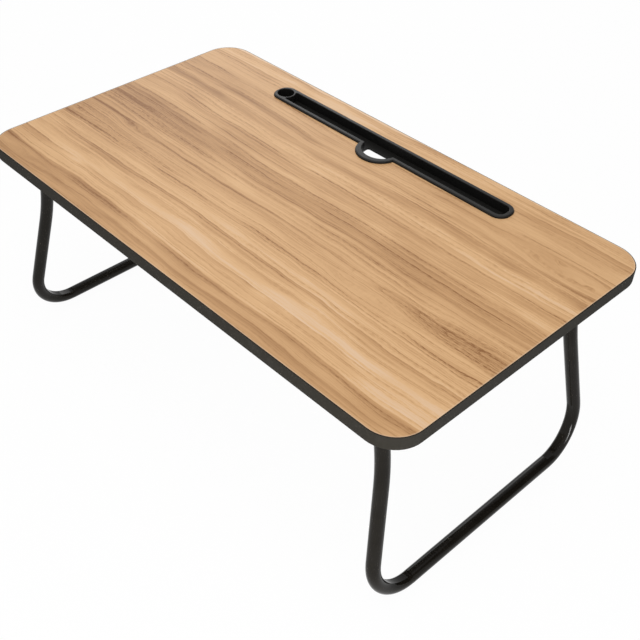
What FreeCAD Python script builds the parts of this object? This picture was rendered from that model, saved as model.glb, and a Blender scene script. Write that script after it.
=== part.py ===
import FreeCAD, Part
import math
import os
import re

import Sketcher

# Folding laptop table: a laminated board with a moulded tray let into it, on two U-shaped tube legs that
# fold inwards under the board. The origin is on the floor under the middle of the table, +X to the right,
# +Y to the back (the tray's side) and +Z up. The model stands open, with both legs against their stops.

# Driving dimensions in millimetres, angles in degrees
SIZES = {
    # Board
    "board_length": 600,
    "board_depth": 350,
    "board_thickness": 14,
    "board_corner": 32,
    "laminate_thickness": 0.5,
    "band_thickness": 1,
    "band_rounding": 0.6,
    "table_height": 250,
    # Tray: the rim lies on the board, the tub hangs in the slot
    "tray_length": 337.2,
    "tray_width": 28.9,
    "tray_back_gap": 24.5,
    "tray_shift": -0.9,
    "tray_corner": 12.6,
    "tray_depth": 10,
    "tray_floor": 1.8,
    "rim_width": 5,
    "rim_height": 2.4,
    "rim_overhang": 2.6,
    "end_overhang": 1.2,
    "rim_rounding": 1.8,
    "lip_rounding": 0.7,
    "slot_clearance": 0.3,
    "bulge_radius": 25.4,
    "cable_radius": 20.9,
    "cable_shift": 3.4,
    "cable_setback": 7,
    "cable_corner": 2.5,
    "cup_inset": 12.4,
    "cup_radius": 9.5,
    "cup_wall": 1.9,
    "scoop_corner": 1.6,
    # Leg tube
    "tube_radius": 7.1,
    "tube_wall": 1.2,
    "leg_splay": 9,
    "hinge_inset": 50.3,
    "post_inset": 40,
    "bar_inset": 12,
    "kink_drop": 59,
    "kink_radius": 260,
    "bend_radius": 47,
    "bend_flat": 1.1,
    "bend_necking": 0.05,
    "end_reach": 6,
    # End plug
    "plug_cap": 1.5,
    "plug_length": 16,
    "plug_clearance": 0.1,
    "plug_rounding": 0.8,
    # Hinge
    "pin_drop": 12.5,
    "sheet_thickness": 1.5,
    "pivot_lobe": 8,
    "stop_lobe": 5,
    "stop_drop": 13,
    "stop_clearance": 0.3,
    "side_play": 0.3,
    "washer_thickness": 0.8,
    "washer_radius": 5.5,
    "rivet_radius": 2.5,
    "rivet_head_radius": 4.5,
    "rivet_head": 1.8,
    "rivet_head_rounding": 1.4,
    "stop_radius": 2,
    "stop_head_radius": 3.5,
    "stop_head": 1.4,
    "stop_head_rounding": 1.1,
    "running_gap": 0.05,
    # Bracket base and its screws
    "base_inner": 23,
    "base_outer": 31,
    "base_corner": 5,
    "screw_inset": 6.5,
    "screw_radius": 1.75,
    "screw_length": 11,
    "screw_head_radius": 3.3,
    "screw_head": 2.2,
    "screw_gap": 0.15,
}

# Sizes that follow from the driving ones
DERIVED = {
    "underside": "(table_height - board_thickness)",
    "pin_height": "(underside - pin_drop)",
    "core_length": "(board_length - 2 * band_thickness)",
    "core_depth": "(board_depth - 2 * band_thickness)",
    "core_corner": "(board_corner - band_thickness)",
    "core_bottom": "(underside + laminate_thickness)",
    "core_top": "(table_height - laminate_thickness)",
    "tray_middle": "(board_depth / 2 - tray_back_gap - tray_width / 2)",
    "trough_half": "(tray_width / 2 - rim_width)",
    "trough_front": "(tray_middle - trough_half)",
    "trough_corner": "(tray_corner - rim_width)",
    "trough_end": "(tray_shift + tray_length / 2 - rim_width)",
    "trough_depth": "(tray_depth - tray_floor + rim_height)",
    "rim_top": "(table_height + rim_height)",
    "tub_length": "(tray_length - 2 * end_overhang)",
    "tub_width": "(tray_width - 2 * rim_overhang)",
    "tub_corner": "(tray_corner - rim_overhang)",
    "tub_bulge": "(bulge_radius - rim_overhang)",
    "cup_place": "(tray_shift - tray_length / 2 + cup_inset)",
    "bore_radius": "(tube_radius - tube_wall)",
    "hinge_offset": "(board_length / 2 - hinge_inset)",
    "post_place": "(board_depth / 2 - post_inset)",
    "bar_corner": "(board_depth / 2 - bar_inset)",
    "bar_drop": "((pin_height - tube_radius) / cos(leg_splay))",
    "flare": "atan((post_inset - bar_inset) / (bar_drop - kink_drop))",
    "kink_run": "(kink_radius * tan(flare / 2))",
    "bend_turn": "(90 deg + flare)",
    "bend_run": "(bend_radius * tan(bend_turn / 2))",
    "bar_half": "(bar_corner - bend_run)",
    "flare_run": "((bar_drop - kink_drop) / cos(flare) - kink_run - bend_run)",
    "cheek_gap": "(2 * (tube_radius + side_play + washer_thickness))",
    "bracket_width": "(cheek_gap + 2 * sheet_thickness)",
    "stop_reach": "(tube_radius + stop_clearance + stop_radius)",
    "stop_out": "(stop_reach * cos(leg_splay) + stop_drop * sin(leg_splay))",
    "stop_up": "(stop_reach * sin(leg_splay) - stop_drop * cos(leg_splay))",
    "screw_inner": "(base_inner - screw_inset)",
    "screw_outer": "(base_outer - screw_inset)",
}

# How near two places count as the same
NEAR = 1e-4

SIDES = {"right": 1, "left": -1}
ENDS = {"front": -1, "back": 1}
HINGES = [(side, end) for side in SIDES for end in ENDS]

doc = FreeCAD.newDocument("folding_laptop_table")
sheet = doc.addObject("Spreadsheet::Sheet", "sizes")
for row, (alias, size) in enumerate(SIZES.items(), start=1):
    sheet.set(f"A{row}", alias.replace("_", " "))
    sheet.set(f"B{row}", str(size))
    sheet.setAlias(f"B{row}", alias)
doc.recompute()


# Formulas

def formula(text):
    """Spell a formula out in the sheet's own cells."""
    def spell(match):
        word = match.group()
        if word in DERIVED:
            return formula(DERIVED[word])
        return f"sizes.{word}" if word in SIZES else word
    return re.sub(r"[a-z_]+", spell, text)


def number(text):
    """What a formula comes to now."""
    answer = sheet.evalExpression(formula(text))
    return getattr(answer, "Value", answer)


def bind(thing, **formulas):
    """Tie properties of an object to formulas."""
    for name, text in formulas.items():
        thing.setExpression(name, formula(text))


def put(thing, x="0", y="0", z="0"):
    """Tie an object's place to formulas."""
    for axis, text in zip("xyz", (x, y, z)):
        thing.setExpression(f"Placement.Base.{axis}", formula(text))


# Sketches

def plane_of(body, plane):
    """One of a body's own origin planes: XY, XZ or YZ."""
    return next(item for item in body.Origin.OriginFeatures if item.Role == f"{plane}_Plane")


def new_body(label):
    body = doc.addObject("PartDesign::Body", label)
    body.Label = label
    return body


def new_sketch(body, plane, lift="0"):
    """A sketch on an origin plane of the body, lifted along the plane's normal."""
    sketch = body.newObject("Sketcher::SketchObject", "outline")
    sketch.AttachmentSupport = [(plane_of(body, plane), "")]
    sketch.MapMode = "FlatFace"
    sketch.setExpression("AttachmentOffset.Base.z", formula(lift))
    return sketch


# The points of a curve, in the order in which a sketch counts them
POINTS = ("whole", "start", "end", "centre")


def hold(sketch, kind, geometry, point, text):
    """A dimension from a formula: a coordinate of a point, or the radius of the whole curve."""
    where = (geometry,) if point == "whole" else (geometry, POINTS.index(point))
    index = sketch.addConstraint(Sketcher.Constraint(kind, *where, number(text)))
    sketch.setExpression(f"Constraints[{index}]", formula(text))


def hold_point(sketch, geometry, point, x, y):
    hold(sketch, "DistanceX", geometry, point, x)
    hold(sketch, "DistanceY", geometry, point, y)


def join(sketch, kind, first, first_point, second, second_point):
    ends = (first, POINTS.index(first_point), second, POINTS.index(second_point))
    sketch.addConstraint(Sketcher.Constraint(kind, *ends))


def add_line(sketch, start, end):
    return sketch.addGeometry(Part.LineSegment(FreeCAD.Vector(*start), FreeCAD.Vector(*end)))


def add_arc(sketch, centre, radius, first, last):
    circle = Part.Circle(FreeCAD.Vector(*centre), FreeCAD.Vector(0, 0, 1), radius)
    return sketch.addGeometry(Part.ArcOfCircle(circle, first, last))


def add_circle(sketch, x, y, radius):
    circle = Part.Circle(FreeCAD.Vector(number(x), number(y)), FreeCAD.Vector(0, 0, 1), number(radius))
    geometry = sketch.addGeometry(circle)
    hold_point(sketch, geometry, "centre", x, y)
    hold(sketch, "Radius", geometry, "whole", radius)


def add_belt(sketch, rounds):
    """A closed outline drawn tight round discs (x, y, radius), which are listed anticlockwise."""
    discs = [tuple(number(text) for text in item) for item in rounds]
    normals = []
    for (x, y, radius), (next_x, next_y, next_radius) in zip(discs, discs[1:] + discs[:1]):
        along = math.atan2(next_y - y, next_x - x)
        lean = math.acos((radius - next_radius) / math.hypot(next_x - x, next_y - y))
        normals.append(along - lean)
    arcs = []
    for index, ((x, y, radius), item) in enumerate(zip(discs, rounds)):
        first, last = normals[index - 1], normals[index]
        last = first + (last - first) % (2 * math.pi)
        arc = add_arc(sketch, (x, y), radius, first, last)
        hold_point(sketch, arc, "centre", item[0], item[1])
        hold(sketch, "Radius", arc, "whole", item[2])
        arcs.append(arc)
    for index, arc in enumerate(arcs):
        other = arcs[(index + 1) % len(arcs)]
        curve, next_curve = sketch.Geometry[arc], sketch.Geometry[other]
        line = add_line(sketch, curve.EndPoint, next_curve.StartPoint)
        join(sketch, "Tangent", arc, "end", line, "start")
        join(sketch, "Tangent", line, "end", other, "start")


def add_rectangle(sketch, length, depth, corner, x="0", y="0"):
    """A rounded rectangle round its middle."""
    across, up = f"({length}) / 2 - ({corner})", f"({depth}) / 2 - ({corner})"
    signs = ((1, 1), (-1, 1), (-1, -1), (1, -1))
    add_belt(sketch, [(f"{x} + {i} * ({across})", f"{y} + {j} * ({up})", corner) for i, j in signs])


def add_cut_circle(sketch, x, y, radius, chord):
    """The part of a circle below a level chord."""
    centre_x, centre_y, size, level = (number(text) for text in (x, y, radius, chord))
    rise = math.asin((level - centre_y) / size)
    arc = add_arc(sketch, (centre_x, centre_y), size, math.pi - rise, 2 * math.pi + rise)
    line = add_line(sketch, sketch.Geometry[arc].EndPoint, sketch.Geometry[arc].StartPoint)
    hold_point(sketch, arc, "centre", x, y)
    hold(sketch, "Radius", arc, "whole", radius)
    join(sketch, "Coincident", arc, "end", line, "start")
    join(sketch, "Coincident", line, "end", arc, "start")
    sketch.addConstraint(Sketcher.Constraint("Horizontal", line))
    hold(sketch, "DistanceY", line, "start", chord)


# Features

def add_pad(body, sketch, length, reverse=False, symmetric=False):
    pad = body.newObject("PartDesign::Pad", "pad")
    pad.Profile = sketch
    pad.Reversed = reverse
    pad.SideType = "Symmetric" if symmetric else "One side"
    bind(pad, Length=length)
    doc.recompute()
    return pad


def add_pocket(body, sketch, length, reverse=False, symmetric=False):
    """A pocket, which has to take something away."""
    before = body.Shape.Volume
    pocket = body.newObject("PartDesign::Pocket", "pocket")
    pocket.Profile = sketch
    pocket.Reversed = reverse
    pocket.SideType = "Symmetric" if symmetric else "One side"
    bind(pocket, Length=length)
    doc.recompute()
    if body.Shape.Volume >= before:
        raise RuntimeError(f"a pocket in {body.Label} cuts nothing")
    return pocket


def add_fillet(body, radius, wanted):
    """Round the edges that a test on an edge picks out."""
    base = body.Tip
    names = [f"Edge{index}" for index, edge in enumerate(base.Shape.Edges, start=1) if wanted(edge)]
    fillet = body.newObject("PartDesign::Fillet", "rounding")
    fillet.Base = (base, names)
    bind(fillet, Radius=radius)
    doc.recompute()
    return fillet


def level_at(height):
    """A test for edges that lie flat at one height."""
    place = number(height)
    return lambda edge: max(abs(edge.BoundBox.ZMin - place), abs(edge.BoundBox.ZMax - place)) < NEAR


def side_on(*places):
    """A test for edges that lie flat in one of some planes across Y."""
    values = [number(place) for place in places]
    return lambda edge: any(
        max(abs(edge.BoundBox.YMin - value), abs(edge.BoundBox.YMax - value)) < NEAR for value in values)


# Board

def add_bulge(sketch, radius, back, shift="0"):
    """A half circle that is centred on the trough's front, or behind it, with sides that run straight back."""
    side, end = f"({radius} - cable_corner)", f"trough_front + {back} - cable_corner"
    add_belt(sketch, (
        ("tray_shift", f"trough_front + {shift}", radius),
        (f"tray_shift + {side}", end, "cable_corner"),
        (f"tray_shift - {side}", end, "cable_corner"),
    ))


def add_slot(body, bottom, height):
    """Cut the tray's slot, with its bulge, up through a layer of the board."""
    sketch = new_sketch(body, "XY", bottom)
    add_rectangle(sketch, "tub_length + 2 * slot_clearance", "tub_width + 2 * slot_clearance",
                  "tub_corner + slot_clearance", "tray_shift", "tray_middle")
    add_pocket(body, sketch, height, reverse=True)
    sketch = new_sketch(body, "XY", bottom)
    add_bulge(sketch, "tub_bulge + slot_clearance", "trough_half")
    add_pocket(body, sketch, height, reverse=True)


def add_pilot_holes(body, bottom, depth):
    """Holes for the bracket screws in a layer of the board, up from its lower face."""
    sketch = new_sketch(body, "XY", bottom)
    for side, end in HINGES:
        for place in ("- screw_inner", "+ screw_outer"):
            add_circle(sketch, f"{SIDES[side]} * (hinge_offset {place})", f"{ENDS[end]} * post_place",
                       "screw_radius + screw_gap")
    add_pocket(body, sketch, depth, reverse=True)


def make_board_layer(label, bottom, height):
    body = new_body(label)
    sketch = new_sketch(body, "XY", bottom)
    add_rectangle(sketch, "core_length", "core_depth", "core_corner")
    add_pad(body, sketch, height)
    add_slot(body, bottom, height)
    return body


def make_core():
    body = make_board_layer("core_board", "core_bottom", "core_top - core_bottom")
    add_pilot_holes(body, "core_bottom", "screw_length - sheet_thickness - laminate_thickness + screw_gap")


def make_laminates():
    make_board_layer("top_laminate", "core_top", "laminate_thickness")
    body = make_board_layer("underside_laminate", "underside", "laminate_thickness")
    add_pilot_holes(body, "underside", "laminate_thickness")


def make_edge_band():
    body = new_body("edge_band")
    sketch = new_sketch(body, "XY", "underside")
    add_rectangle(sketch, "board_length", "board_depth", "board_corner")
    add_rectangle(sketch, "core_length", "core_depth", "core_corner")
    add_pad(body, sketch, "board_thickness")
    low, high = level_at("underside"), level_at("table_height")
    inner = number("core_length") / 2 + number("band_thickness") / 2
    inner_depth = number("core_depth") / 2 + number("band_thickness") / 2
    core_corner = number("core_corner")

    def outer(edge):
        if not (low(edge) or high(edge)):
            return False
        if edge.Curve.TypeId == "Part::GeomCircle":
            return edge.Curve.Radius > core_corner + NEAR
        return abs(edge.BoundBox.Center.x) > inner or abs(edge.BoundBox.Center.y) > inner_depth
    add_fillet(body, "band_rounding", outer)


# Tray

def add_trough_outline(sketch):
    """The trough seen from above: round corners at the right, scooped round the pen cup at the left."""
    middle, half, corner, end, notch = (number(text) for text in (
        "tray_middle", "trough_half", "trough_corner", "trough_end", "scoop_corner"))
    cup, scoop = number("cup_place"), number("cup_radius + cup_wall")
    rise = math.asin((half - notch) / (scoop + notch))
    notch_place = cup + (scoop + notch) * math.cos(rise)
    scoop_arc = add_arc(sketch, (cup, middle), scoop, -rise, rise)
    front_notch = add_arc(sketch, (notch_place, middle - half + notch), notch, math.pi - rise, 1.5 * math.pi)
    back_notch = add_arc(sketch, (notch_place, middle + half - notch), notch, math.pi / 2, math.pi + rise)
    front_arc = add_arc(sketch, (end - corner, middle - half + corner), corner, -math.pi / 2, 0)
    back_arc = add_arc(sketch, (end - corner, middle + half - corner), corner, 0, math.pi / 2)
    curves = sketch.Geometry
    front = add_line(sketch, curves[front_notch].EndPoint, curves[front_arc].StartPoint)
    right = add_line(sketch, curves[front_arc].EndPoint, curves[back_arc].StartPoint)
    back = add_line(sketch, curves[back_arc].EndPoint, curves[back_notch].StartPoint)
    hold_point(sketch, scoop_arc, "centre", "cup_place", "tray_middle")
    hold(sketch, "Radius", scoop_arc, "whole", "cup_radius + cup_wall")
    for arc, sign in ((front_arc, -1), (back_arc, 1)):
        hold_point(sketch, arc, "centre", "trough_end - trough_corner",
                   f"tray_middle + {sign} * (trough_half - trough_corner)")
        hold(sketch, "Radius", arc, "whole", "trough_corner")
    for arc in (front_notch, back_notch):
        hold(sketch, "Radius", arc, "whole", "scoop_corner")
    for line in (front, back):
        sketch.addConstraint(Sketcher.Constraint("Horizontal", line))
    outline = (front_notch, front, front_arc, right, back_arc, back, back_notch)
    for first, second in zip(outline, outline[1:]):
        join(sketch, "Tangent", first, "end", second, "start")
    join(sketch, "Tangent", back_notch, "end", scoop_arc, "end")
    join(sketch, "Tangent", front_notch, "start", scoop_arc, "start")


def add_tray_layer(body, length, width, corner, bulge, height, reverse):
    """A layer of the tray's outline, with its bulge, up or down from the board's top."""
    sketch = new_sketch(body, "XY", "table_height")
    add_rectangle(sketch, length, width, corner, "tray_shift", "tray_middle")
    add_pad(body, sketch, height, reverse)
    sketch = new_sketch(body, "XY", "table_height")
    add_bulge(sketch, bulge, "trough_half")
    add_pad(body, sketch, height, reverse)


def make_tray():
    """The moulded tray: a rim on the board, and a tub in the slot with a trough, a pen cup and a cable hole."""
    body = new_body("tablet_tray")
    on_top = level_at("rim_top")
    add_tray_layer(body, "tray_length", "tray_width", "tray_corner", "bulge_radius", "rim_height", reverse=False)
    add_fillet(body, "rim_rounding", on_top)
    outer = [edge.CenterOfMass for edge in body.Shape.Edges if on_top(edge)]
    add_tray_layer(body, "tub_length", "tub_width", "tub_corner", "tub_bulge", "tray_depth", reverse=True)
    trough = new_sketch(body, "XY", "rim_top")
    add_trough_outline(trough)
    add_pocket(body, trough, "trough_depth")
    cup = new_sketch(body, "XY", "rim_top")
    add_circle(cup, "cup_place", "tray_middle", "cup_radius")
    add_pocket(body, cup, "trough_depth")
    cable_hole = new_sketch(body, "XY", "rim_top")
    add_bulge(cable_hole, "cable_radius", "cable_setback", "cable_shift")
    add_pocket(body, cable_hole, "tray_depth + rim_height")

    # Round the edges that the hollows have cut in the rim's top
    add_fillet(body, "lip_rounding", lambda edge: on_top(edge) and all(
        edge.CenterOfMass.distanceToPoint(place) > NEAR for place in outer))


# Legs

def add_ring(sketch, x, y):
    """The tube cut across."""
    for radius in ("tube_radius", "bore_radius"):
        add_circle(sketch, x, y, radius)


def add_turn(body, sketch, level, angle):
    """Turn a section of the tube down round an axle, which lies level in the section's sketch."""
    reach, height = number("tube_radius"), number(level)
    axle = add_line(sketch, (-reach, height), (reach, height))
    sketch.toggleConstruction(axle)
    hold_point(sketch, axle, "start", "-tube_radius", level)
    hold_point(sketch, axle, "end", "tube_radius", level)
    turn = body.newObject("PartDesign::Revolution", "turn")
    turn.Profile = sketch
    turn.ReferenceAxis = (sketch, ["Axis0"])
    turn.Reversed = True
    bind(turn, Angle=angle)
    doc.recompute()
    return turn


def make_leg(side):
    """A leg in its own frame: the hinge line is Y, the posts run down -Z, and the open leg is then splayed."""
    body = new_body(f"{side}_leg_tube")

    # The front post: straight down from the hinge, round the gentle kink and out along the flare
    open_end = new_sketch(body, "XY", "end_reach")
    add_ring(open_end, "0", "-post_place")
    straight = add_pad(body, open_end, "end_reach + kink_drop - kink_run", reverse=True)
    kink_start = new_sketch(body, "XY", "kink_run - kink_drop")
    add_ring(kink_start, "0", "-post_place")
    kink = add_turn(body, kink_start, "-post_place - kink_radius", "flare")
    flare_start = new_sketch(body, "XY", "-kink_drop - kink_run * cos(flare)")
    flare_start.AttachmentOffset.Rotation = FreeCAD.Rotation(FreeCAD.Vector(-1, 0, 0), number("flare"))
    flare_start.setExpression("AttachmentOffset.Base.y", formula("-post_place - kink_run * sin(flare)"))
    flare_start.setExpression("AttachmentOffset.Rotation.Angle", formula("flare"))
    add_ring(flare_start, "0", "0")
    flared = add_pad(body, flare_start, "flare_run", reverse=True)

    # The bottom bend, pressed flat on its inner side and a little thinner, and half of the bar on the floor
    flattened = new_sketch(body, "XZ", "bar_half")
    for radius, thinned in (("tube_radius", "- bend_necking"), ("bore_radius", "+ bend_necking")):
        add_cut_circle(flattened, "0", "-bar_drop", f"{radius} {thinned}", f"{radius} - bend_flat - bar_drop")
    bend = add_turn(body, flattened, "bend_radius - bar_drop", "bend_turn")
    bar_end = new_sketch(body, "XZ", "bar_half")
    add_ring(bar_end, "0", "-bar_drop")
    bar = add_pad(body, bar_end, "bar_half", reverse=True)

    # The other half of the leg, and the holes for the hinge rivets
    mirror = body.newObject("PartDesign::Mirrored", "back_half")
    mirror.Originals = [straight, kink, flared, bend, bar]
    mirror.MirrorPlane = (plane_of(body, "XZ"), [""])
    body.Tip = mirror
    doc.recompute()
    rivet_hole = new_sketch(body, "XZ")
    add_circle(rivet_hole, "0", "0", "rivet_radius + running_gap")
    add_pocket(body, rivet_hole, "board_depth", symmetric=True)
    splay(body, side)


def splay(body, side, y="0"):
    """Stand a piece that moves with a leg on its hinge line, leaning outwards."""
    hinge_line = FreeCAD.Vector(0, -SIDES[side], 0)
    body.Placement = FreeCAD.Placement(FreeCAD.Vector(), FreeCAD.Rotation(hinge_line, number("leg_splay")))
    body.setExpression("Placement.Rotation.Angle", formula("leg_splay * 1 deg"))
    put(body, f"{SIDES[side]} * hinge_offset", y, "pin_height")


def make_end_plug(side, end):
    """A plug in the top of a post, with a cap over the cut end and a hole for the hinge rivet."""
    body = new_body(f"{side}_{end}_end_plug")
    stem = new_sketch(body, "XY", "end_reach")
    add_circle(stem, "0", "0", "bore_radius - plug_clearance")
    add_pad(body, stem, "plug_length", reverse=True)
    cap = new_sketch(body, "XY", "end_reach")
    add_circle(cap, "0", "0", "tube_radius")
    add_pad(body, cap, "plug_cap")
    rivet_hole = new_sketch(body, "XZ")
    add_circle(rivet_hole, "0", "0", "rivet_radius + running_gap")
    add_pocket(body, rivet_hole, "4 * tube_radius", symmetric=True)
    add_fillet(body, "plug_rounding", level_at("end_reach + plug_cap"))
    splay(body, side, f"{ENDS[end]} * post_place")


# Hinges

def stand_at_hinge(body, side, end, out="0", up="0"):
    """Place a piece that is fixed under the board at a hinge, out from its pin and up."""
    turn = 0 if side == "right" else 180
    body.Placement = FreeCAD.Placement(FreeCAD.Vector(), FreeCAD.Rotation(FreeCAD.Vector(0, 0, 1), turn))
    put(body, f"{SIDES[side]} * (hinge_offset + {out})", f"{ENDS[end]} * post_place", f"pin_height + {up}")


def make_bracket(side, end):
    """A pressed bracket: a base on the board, and two cheeks that hold the hinge rivet and the stop rivet."""
    body = new_body(f"{side}_{end}_bracket")
    cheeks = new_sketch(body, "XZ")
    add_belt(cheeks, (
        ("0", "0", "pivot_lobe"),
        ("stop_out", "stop_up", "stop_lobe"),
        ("stop_out + stop_lobe - sheet_thickness", "pin_drop - sheet_thickness", "sheet_thickness"),
        ("sheet_thickness - pivot_lobe", "pin_drop - sheet_thickness", "sheet_thickness"),
    ))
    add_pad(body, cheeks, "bracket_width", symmetric=True)
    channel = new_sketch(body, "YZ")
    low, high = "-2 * stop_drop - 2 * stop_lobe", "pin_drop - sheet_thickness"
    add_channel(channel, "cheek_gap / 2", low, high)
    add_pocket(body, channel, "4 * base_outer", symmetric=True)
    base = new_sketch(body, "XY", "pin_drop")
    half = "bracket_width / 2 - base_corner"
    add_belt(base, (
        ("base_outer - base_corner", half, "base_corner"),
        ("base_corner - base_inner", half, "base_corner"),
        ("base_corner - base_inner", f"-({half})", "base_corner"),
        ("base_outer - base_corner", f"-({half})", "base_corner"),
    ))
    add_pad(body, base, "sheet_thickness", reverse=True)
    holes = new_sketch(body, "XZ")
    add_circle(holes, "0", "0", "rivet_radius")
    add_circle(holes, "stop_out", "stop_up", "stop_radius")
    add_pocket(body, holes, "2 * bracket_width", symmetric=True)
    screw_holes = new_sketch(body, "XY", "pin_drop")
    for place in ("-screw_inner", "screw_outer"):
        add_circle(screw_holes, place, "0", "screw_radius + screw_gap")
    add_pocket(body, screw_holes, "sheet_thickness")
    stand_at_hinge(body, side, end)


def add_channel(sketch, half, low, high):
    """A plain rectangle, centred on the sketch's upright axis."""
    across, bottom, top = number(half), number(low), number(high)
    spots = ((-across, bottom), (across, bottom), (across, top), (-across, top))
    lines = [add_line(sketch, spots[index], spots[(index + 1) % 4]) for index in range(4)]
    for index, line in enumerate(lines):
        join(sketch, "Coincident", line, "end", lines[(index + 1) % 4], "start")
        sketch.addConstraint(Sketcher.Constraint("Vertical" if index % 2 else "Horizontal", line))
    hold_point(sketch, lines[0], "start", f"-({half})", low)
    hold_point(sketch, lines[2], "start", half, high)


def make_rivet(label, radius, head_radius, head):
    """A rivet across a bracket's cheeks, with a rounded head on each side."""
    body = new_body(label)
    shank = new_sketch(body, "XZ")
    add_circle(shank, "0", "0", radius)
    add_pad(body, shank, "bracket_width", symmetric=True)
    for lift, reverse in (("bracket_width / 2", False), ("-bracket_width / 2", True)):
        disc = new_sketch(body, "XZ", lift)
        add_circle(disc, "0", "0", head_radius)
        add_pad(body, disc, head, reverse)
    tip = f"bracket_width / 2 + {head}"
    add_fillet(body, f"{head}_rounding", side_on(tip, f"-({tip})"))
    return body


def make_washers():
    """A washer on each side of each post, round the hinge rivet."""
    washers = []
    for side, end in HINGES:
        for hand in (-1, 1):
            disc = doc.addObject("Part::Cylinder", "washer_disc")
            bind(disc, Radius="washer_radius", Height="washer_thickness")
            hole = doc.addObject("Part::Cylinder", "washer_hole")
            bind(hole, Radius="rivet_radius + running_gap", Height="washer_thickness")
            washer = doc.addObject("Part::Cut", "washer")
            washer.Base, washer.Tool = disc, hole
            turn = FreeCAD.Rotation(FreeCAD.Vector(1, 0, 0), -90 * hand)
            washer.Placement = FreeCAD.Placement(FreeCAD.Vector(), turn)
            face = f"{ENDS[end]} * post_place + {hand} * (tube_radius + side_play)"
            put(washer, f"{SIDES[side]} * hinge_offset", face, "pin_height")
            washers.append(washer)
    add_group("hinge_washers", washers)


def make_screws():
    """Pan-head screws that hold the bracket bases to the board."""
    screws = []
    for side, end in HINGES:
        for place in ("- screw_inner", "+ screw_outer"):
            shank = doc.addObject("Part::Cylinder", "screw_shank")
            bind(shank, Radius="screw_radius", Height="screw_length")
            head = doc.addObject("Part::Cylinder", "screw_head")
            bind(head, Radius="screw_head_radius", Height="screw_head")
            put(head, z="-screw_head")
            screw = doc.addObject("Part::Fuse", "screw")
            screw.Base, screw.Tool = shank, head
            put(screw, f"{SIDES[side]} * (hinge_offset {place})", f"{ENDS[end]} * post_place",
                "underside - sheet_thickness")
            screws.append(screw)
    add_group("bracket_screws", screws)


def add_group(label, pieces):
    group = doc.addObject("Part::Compound", label)
    group.Label = label
    group.Links = pieces
    nodes.append(group)


# The whole table

nodes = []
make_core()
make_laminates()
make_edge_band()
make_tray()
for side in SIDES:
    make_leg(side)
for side, end in HINGES:
    make_bracket(side, end)
    make_end_plug(side, end)
    stand_at_hinge(make_rivet(f"{side}_{end}_hinge_rivet", "rivet_radius", "rivet_head_radius", "rivet_head"),
                   side, end)
    stand_at_hinge(make_rivet(f"{side}_{end}_stop_rivet", "stop_radius", "stop_head_radius", "stop_head"),
                   side, end, "stop_out", "stop_up")
make_washers()
make_screws()
doc.recompute()

nodes += [item for item in doc.Objects if item.TypeId == "PartDesign::Body"]
for item in doc.Objects:
    if "Invalid" in item.State or "Error" in item.State:
        raise RuntimeError(f"{item.Label} did not build: {item.State}")
for node in nodes:
    if node.Shape.isNull() or not node.Shape.isValid():
        raise RuntimeError(f"{node.Label} has no valid shape")

os.makedirs("parts", exist_ok=True)
for node in nodes:
    node.Shape.exportStep(f"parts/{node.Label}.step")
    print(f"{node.Label}: {len(node.Shape.Solids)} solids, {node.Shape.Volume:.1f} mm3")
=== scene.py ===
import math

import bpy
from mathutils import Matrix, Vector


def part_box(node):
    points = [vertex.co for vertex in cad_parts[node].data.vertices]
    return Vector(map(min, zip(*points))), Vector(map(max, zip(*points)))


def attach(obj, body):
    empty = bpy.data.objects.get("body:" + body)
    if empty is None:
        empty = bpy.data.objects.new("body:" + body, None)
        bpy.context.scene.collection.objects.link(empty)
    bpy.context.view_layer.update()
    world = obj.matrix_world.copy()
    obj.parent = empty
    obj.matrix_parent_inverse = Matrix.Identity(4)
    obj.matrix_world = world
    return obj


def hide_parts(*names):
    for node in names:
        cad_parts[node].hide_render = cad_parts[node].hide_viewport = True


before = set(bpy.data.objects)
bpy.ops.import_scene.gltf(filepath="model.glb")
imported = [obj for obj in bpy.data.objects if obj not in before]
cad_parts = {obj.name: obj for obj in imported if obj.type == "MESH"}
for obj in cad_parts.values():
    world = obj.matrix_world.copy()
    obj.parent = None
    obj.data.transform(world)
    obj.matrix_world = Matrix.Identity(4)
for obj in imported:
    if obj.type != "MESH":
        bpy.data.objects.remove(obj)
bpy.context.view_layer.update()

bl_info = {
    "name": "Folding Lap Table",
    "version": (1, 0, 0),
    "blender": (4, 5, 0),
    "location": "3D View > Sidebar > Lap Table",
    "description": "Finishes for a folding lap table, its screws and a plain studio",
    "category": "Object",
}

MM = 0.001
WHITE = (1.0, 1.0, 1.0)
BLACK = (0.0, 0.0, 0.0)

# Sockets of a Mix node for colours, by number because it has several of each name
MIX_SHARE, MIX_FIRST, MIX_SECOND, MIX_RESULT = 0, 6, 7, 2


# Node building

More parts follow.
